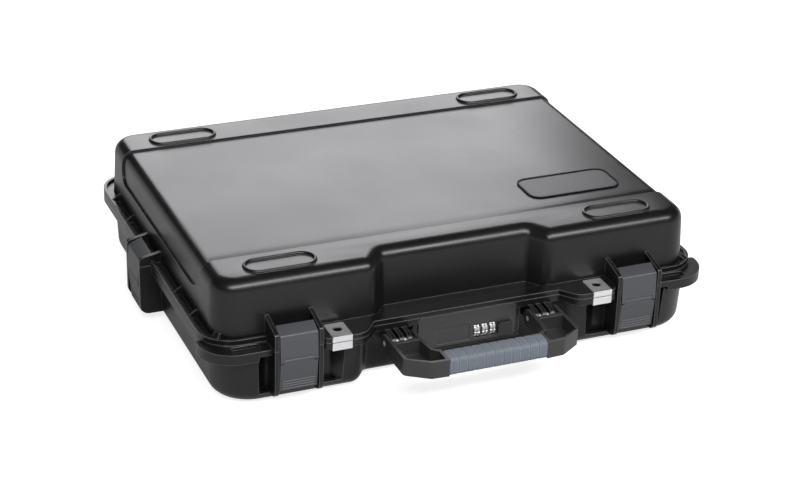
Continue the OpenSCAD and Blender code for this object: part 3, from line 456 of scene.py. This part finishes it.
def arc(cx, cy, radius, start, sweep, steps):
    """Points round a part of a circle, from a start angle in degrees."""
    angles = [math.radians(start + sweep * k / steps) for k in range(steps + 1)]
    return [(cx + radius * math.cos(a), cy + radius * math.sin(a)) for a in angles]


def outline(low, high, corner):
    """A rounded rectangle with a hollow in its front side."""
    points = []
    x0, y0, x1, y1 = low[0], low[1], high[0], high[1]
    for cx, cy, start in ((x1 - corner, y0 + corner, -90), (x1 - corner, y1 - corner, 0),
                          (x0 + corner, y1 - corner, 90), (x0 + corner, y0 + corner, 180)):
        points += arc(cx, cy, corner, start, 90, CORNER_STEPS)
    run = HOLLOW_DEEP * HOLLOW_SLANT
    points += [(-HOLLOW_HALF - run, y0), (-HOLLOW_HALF, y0 + HOLLOW_DEEP),
               (HOLLOW_HALF, y0 + HOLLOW_DEEP), (HOLLOW_HALF + run, y0)]
    return points


def slab(loops, low, high, round_edge):
    """A mesh between two heights, from an outline and its holes, with rounded edges."""
    curve = bpy.data.curves.new("slab", "CURVE")
    curve.dimensions = "2D"
    curve.fill_mode = "BOTH"
    curve.extrude = (high - low) / 2 - round_edge
    curve.bevel_depth = round_edge
    curve.bevel_resolution = 3
    curve.offset = -round_edge
    for points in loops:
        spline = curve.splines.new("POLY")
        spline.points.add(len(points) - 1)
        for point, (x, y) in zip(spline.points, points):
            point.co = (x, y, 0, 1)
        spline.use_cyclic_u = True
    holder = bpy.data.objects.new("slab", curve)
    bpy.context.scene.collection.objects.link(holder)
    bpy.context.view_layer.update()
    mesh = as_mesh(holder)
    mesh.transform(Matrix.Translation((0, 0, (low + high) / 2)))
    bpy.data.objects.remove(holder)
    return mesh


def joined(name, meshes, material):
    built = bmesh.new()
    for mesh in meshes:
        built.from_mesh(mesh)
    bmesh.ops.remove_doubles(built, verts=built.verts, dist=JOIN_WITHIN)
    mesh = bpy.data.meshes.new(name)
    built.to_mesh(mesh)
    built.free()
    mesh.materials.clear()
    piece = link(name, mesh, material)
    for face in mesh.polygons:
        face.use_smooth = True
    shade_smooth(piece)
    return piece


# The laptop's nest in the lower foam: half its size, its corners, its floor and the finger holes
NEST_HALF = (202 * MM, 142 * MM)
NEST_CORNER = 8 * MM
NEST_CORNER_STEPS = 6
NEST_FLOOR = 16 * MM
FINGER_R = 22 * MM
FINGER_STEPS = 16
WALL_ROUND = 2 * MM
FLOOR_ROUND = 1.5 * MM


def base_foam():
    """The lower foam: a floor, and a wall round the nest."""
    low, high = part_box("base_foam")
    outer = outline(low, high, FOAM_CORNER)
    middle_y = (low[1] + HOLLOW_DEEP + high[1]) / 2
    half_w, half_d = NEST_HALF
    in_x, front, rear = half_w - NEST_CORNER, middle_y - half_d + NEST_CORNER, middle_y + half_d - NEST_CORNER
    corner = (NEST_CORNER, 90, NEST_CORNER_STEPS)
    nest = []
    for cx, cy, start, (radius, sweep, steps) in (
            (in_x, front, -90, corner), (half_w, middle_y, -90, (FINGER_R, 180, FINGER_STEPS)),
            (in_x, rear, 0, corner), (-in_x, rear, 90, corner),
            (-half_w, middle_y, 90, (FINGER_R, 180, FINGER_STEPS)), (-in_x, front, 180, corner)):
        nest += arc(cx, cy, radius, start, sweep, steps)
    parts = [slab([outer, nest], low[2] + NEST_FLOOR - WALL_ROUND, high[2], WALL_ROUND),
             slab([outer], low[2], low[2] + NEST_FLOOR, FLOOR_ROUND)]
    piece = joined("foam_nest", parts, MATERIALS["foam"])
    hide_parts("base_foam")
    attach(piece, "base")


# The bumps of the upper foam: half the field in pitches, its mesh, its soft border, and how it is sunk
BUMP_PITCH = 36 * MM
BUMP_H = 9 * MM
BUMP_FIELD = (5.9, 3.9)
BUMP_MESH = (130, 92)
BUMP_BORDER = 6 * MM
BUMP_SUNK = (1 * MM, 4 * MM)
LID_FOAM_PLAY = 1.5 * MM


def lid_foam():
    """The upper foam: a slab, and under it one sheet that waves from bump to bump."""
    low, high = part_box("lid_foam")
    outer = outline(low, high, LID_FOAM_CORNER)
    parts = [slab([outer], low[2] + BUMP_H, high[2] - LID_FOAM_PLAY, WALL_ROUND)]
    middle_y = (low[1] + HOLLOW_DEEP + high[1]) / 2
    crate = bmesh.new()
    cols, rows = BUMP_MESH
    half_w, half_d = BUMP_PITCH * BUMP_FIELD[0], BUMP_PITCH * BUMP_FIELD[1]
    top = low[2] + BUMP_H + BUMP_SUNK[0]
    grid = []
    for j in range(rows + 1):
        row = []
        for i in range(cols + 1):
            x = -half_w + 2 * half_w * i / cols
            y = -half_d + 2 * half_d * j / rows
            across, along = (math.cos(2 * math.pi * v / BUMP_PITCH) for v in (x, y))
            wave = 0.5 + 0.25 * (across + along)
            fade = min(1.0, (half_w - abs(x)) / BUMP_BORDER, (half_d - abs(y)) / BUMP_BORDER)
            row.append(crate.verts.new((x, middle_y + y, top - BUMP_H * wave * fade)))
        grid.append(row)
    for j in range(rows):
        for i in range(cols):
            crate.faces.new((grid[j][i], grid[j + 1][i], grid[j + 1][i + 1], grid[j][i + 1]))
    rim = [grid[0][i] for i in range(cols + 1)] + [grid[j][cols] for j in range(1, rows + 1)]
    rim += [grid[rows][i] for i in range(cols - 1, -1, -1)] + [grid[j][0] for j in range(rows - 1, 0, -1)]
    upper = [crate.verts.new((v.co.x, v.co.y, top + BUMP_SUNK[1])) for v in rim]
    for k in range(len(rim)):
        n = (k + 1) % len(rim)
        crate.faces.new((rim[k], rim[n], upper[n], upper[k]))
    crate.faces.new(upper)
    bumps = bpy.data.meshes.new("bumps")
    crate.to_mesh(bumps)
    crate.free()
    parts.append(bumps)
    piece = joined("foam_bumps", parts, MATERIALS["foam"])
    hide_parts("lid_foam")
    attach(piece, "lid")


base_foam()
lid_foam()


# Studio: light of the room, the ceiling in a reflection, and the height where the backdrop ends in it
WORLD_LIGHT = 0.22
CEILING = 0.025
BACKDROP_TOP = (0.02, 0.16)
# Floor: half its size, its place and grey, how far it is lifted to white near the case and in a reflection,
# and the distance over which the lift becomes full
FLOOR_HALF = 6.0
FLOOR_Z = -0.0005
FLOOR_GREY = 0.55
FLOOR_LIFT = 0.8
FLOOR_MIRRORED = 0.12
FLOOR_SHADE_REACH = (0.5, 1.6)


def lamp(name, at, size, power, look_at=(0, 0, 0.06), colour=(1, 1, 1)):
    data = bpy.data.lights.new(name, "AREA")
    data.shape = "RECTANGLE"
    data.size, data.size_y = size
    data.energy = power
    data.color = colour
    made = bpy.data.objects.new(name, data)
    made.location = at
    made.rotation_euler = (Vector(look_at) - Vector(at)).to_track_quat("-Z", "Y").to_euler()
    bpy.context.scene.collection.objects.link(made)


def background(nodes, strength):
    made = nodes.new("ShaderNodeBackground")
    made.inputs["Color"].default_value = WHITE
    made.inputs["Strength"].default_value = strength
    return made


def mixed(nodes, links, share, first, second):
    made = nodes.new("ShaderNodeMixShader")
    links.new(share, made.inputs["Fac"])
    links.new(first, made.inputs[1])
    links.new(second, made.inputs[2])
    return made.outputs["Shader"]


def world():
    """Even light for the object, white for the camera, and a room of its own for reflections."""
    made = bpy.data.worlds.new("studio")
    bpy.context.scene.world = made
    made.use_nodes = True
    nodes, links = made.node_tree.nodes, made.node_tree.links
    nodes.clear()
    out = nodes.new("ShaderNodeOutputWorld")
    light = background(nodes, WORLD_LIGHT)
    backdrop = background(nodes, 1.0)
    # What a reflection finds: the white backdrop low down, and the dark ceiling of the studio above it
    coords = nodes.new("ShaderNodeTexCoord")
    split = nodes.new("ShaderNodeSeparateXYZ")
    links.new(coords.outputs["Generated"], split.inputs["Vector"])
    height = spread(nodes, links, split.outputs["Z"], 1.0, CEILING, *BACKDROP_TOP)
    room = background(nodes, 1.0)
    links.new(height, room.inputs["Strength"])
    path = nodes.new("ShaderNodeLightPath").outputs
    mirrored = calc(nodes, links, "MAXIMUM", path["Is Glossy Ray"], path["Is Transmission Ray"])
    unseen = mixed(nodes, links, mirrored, light.outputs["Background"], room.outputs["Background"])
    seen = mixed(nodes, links, path["Is Camera Ray"], unseen, backdrop.outputs["Background"])
    links.new(seen, out.inputs["Surface"])


def floor():
    """A pale sheet that the camera sees as white, with the case's faint shadow on it."""
    mesh = bpy.data.meshes.new("floor")
    s = FLOOR_HALF
    mesh.from_pydata([(-s, -s, 0), (s, -s, 0), (s, s, 0), (-s, s, 0)], [], [(0, 1, 2, 3)])
    made, nodes, links = new_material("floor_white")
    shader = nodes.new("ShaderNodeBsdfPrincipled")
    shader.inputs["Base Color"].default_value = (FLOOR_GREY, FLOOR_GREY, FLOOR_GREY, 1)
    shader.inputs["Roughness"].default_value = 0.9
    shader.inputs["Specular IOR Level"].default_value = 0.0
    # Seen by the camera or in a reflection, the sheet is lifted to white and keeps a faint shadow
    glow = nodes.new("ShaderNodeEmission")
    glow.inputs["Color"].default_value = WHITE
    path = nodes.new("ShaderNodeLightPath").outputs
    reach = nodes.new("ShaderNodeVectorMath")
    reach.operation = "LENGTH"
    links.new(nodes.new("ShaderNodeTexCoord").outputs["Object"], reach.inputs[0])
    away = spread(nodes, links, reach.outputs["Value"], FLOOR_LIFT, 1.0, *FLOOR_SHADE_REACH)
    lift = calc(nodes, links, "MULTIPLY", path["Is Camera Ray"], away)
    mirrored = spread(nodes, links, path["Is Glossy Ray"], 0.0, FLOOR_MIRRORED, 0.0, 1.0)
    links.new(calc(nodes, links, "MAXIMUM", lift, mirrored), glow.inputs["Strength"])
    both = nodes.new("ShaderNodeAddShader")
    links.new(shader.outputs["BSDF"], both.inputs[0])
    links.new(glow.outputs["Emission"], both.inputs[1])
    out = nodes.new("ShaderNodeOutputMaterial")
    links.new(both.outputs["Shader"], out.inputs["Surface"])
    piece = link("floor", mesh, made)
    piece.location = (0, 0, FLOOR_Z)


lamp("back_softbox", (0.67, 2.45, 1.35), (1.7, 1.5), 34, colour=(1.0, 0.99, 1.02))
lamp("front_strip", (0.1, -1.75, 1.85), (3.2, 0.62), 88)
world()
floor()
place_camera()

scene = bpy.context.scene
scene.view_settings.view_transform = "Standard"
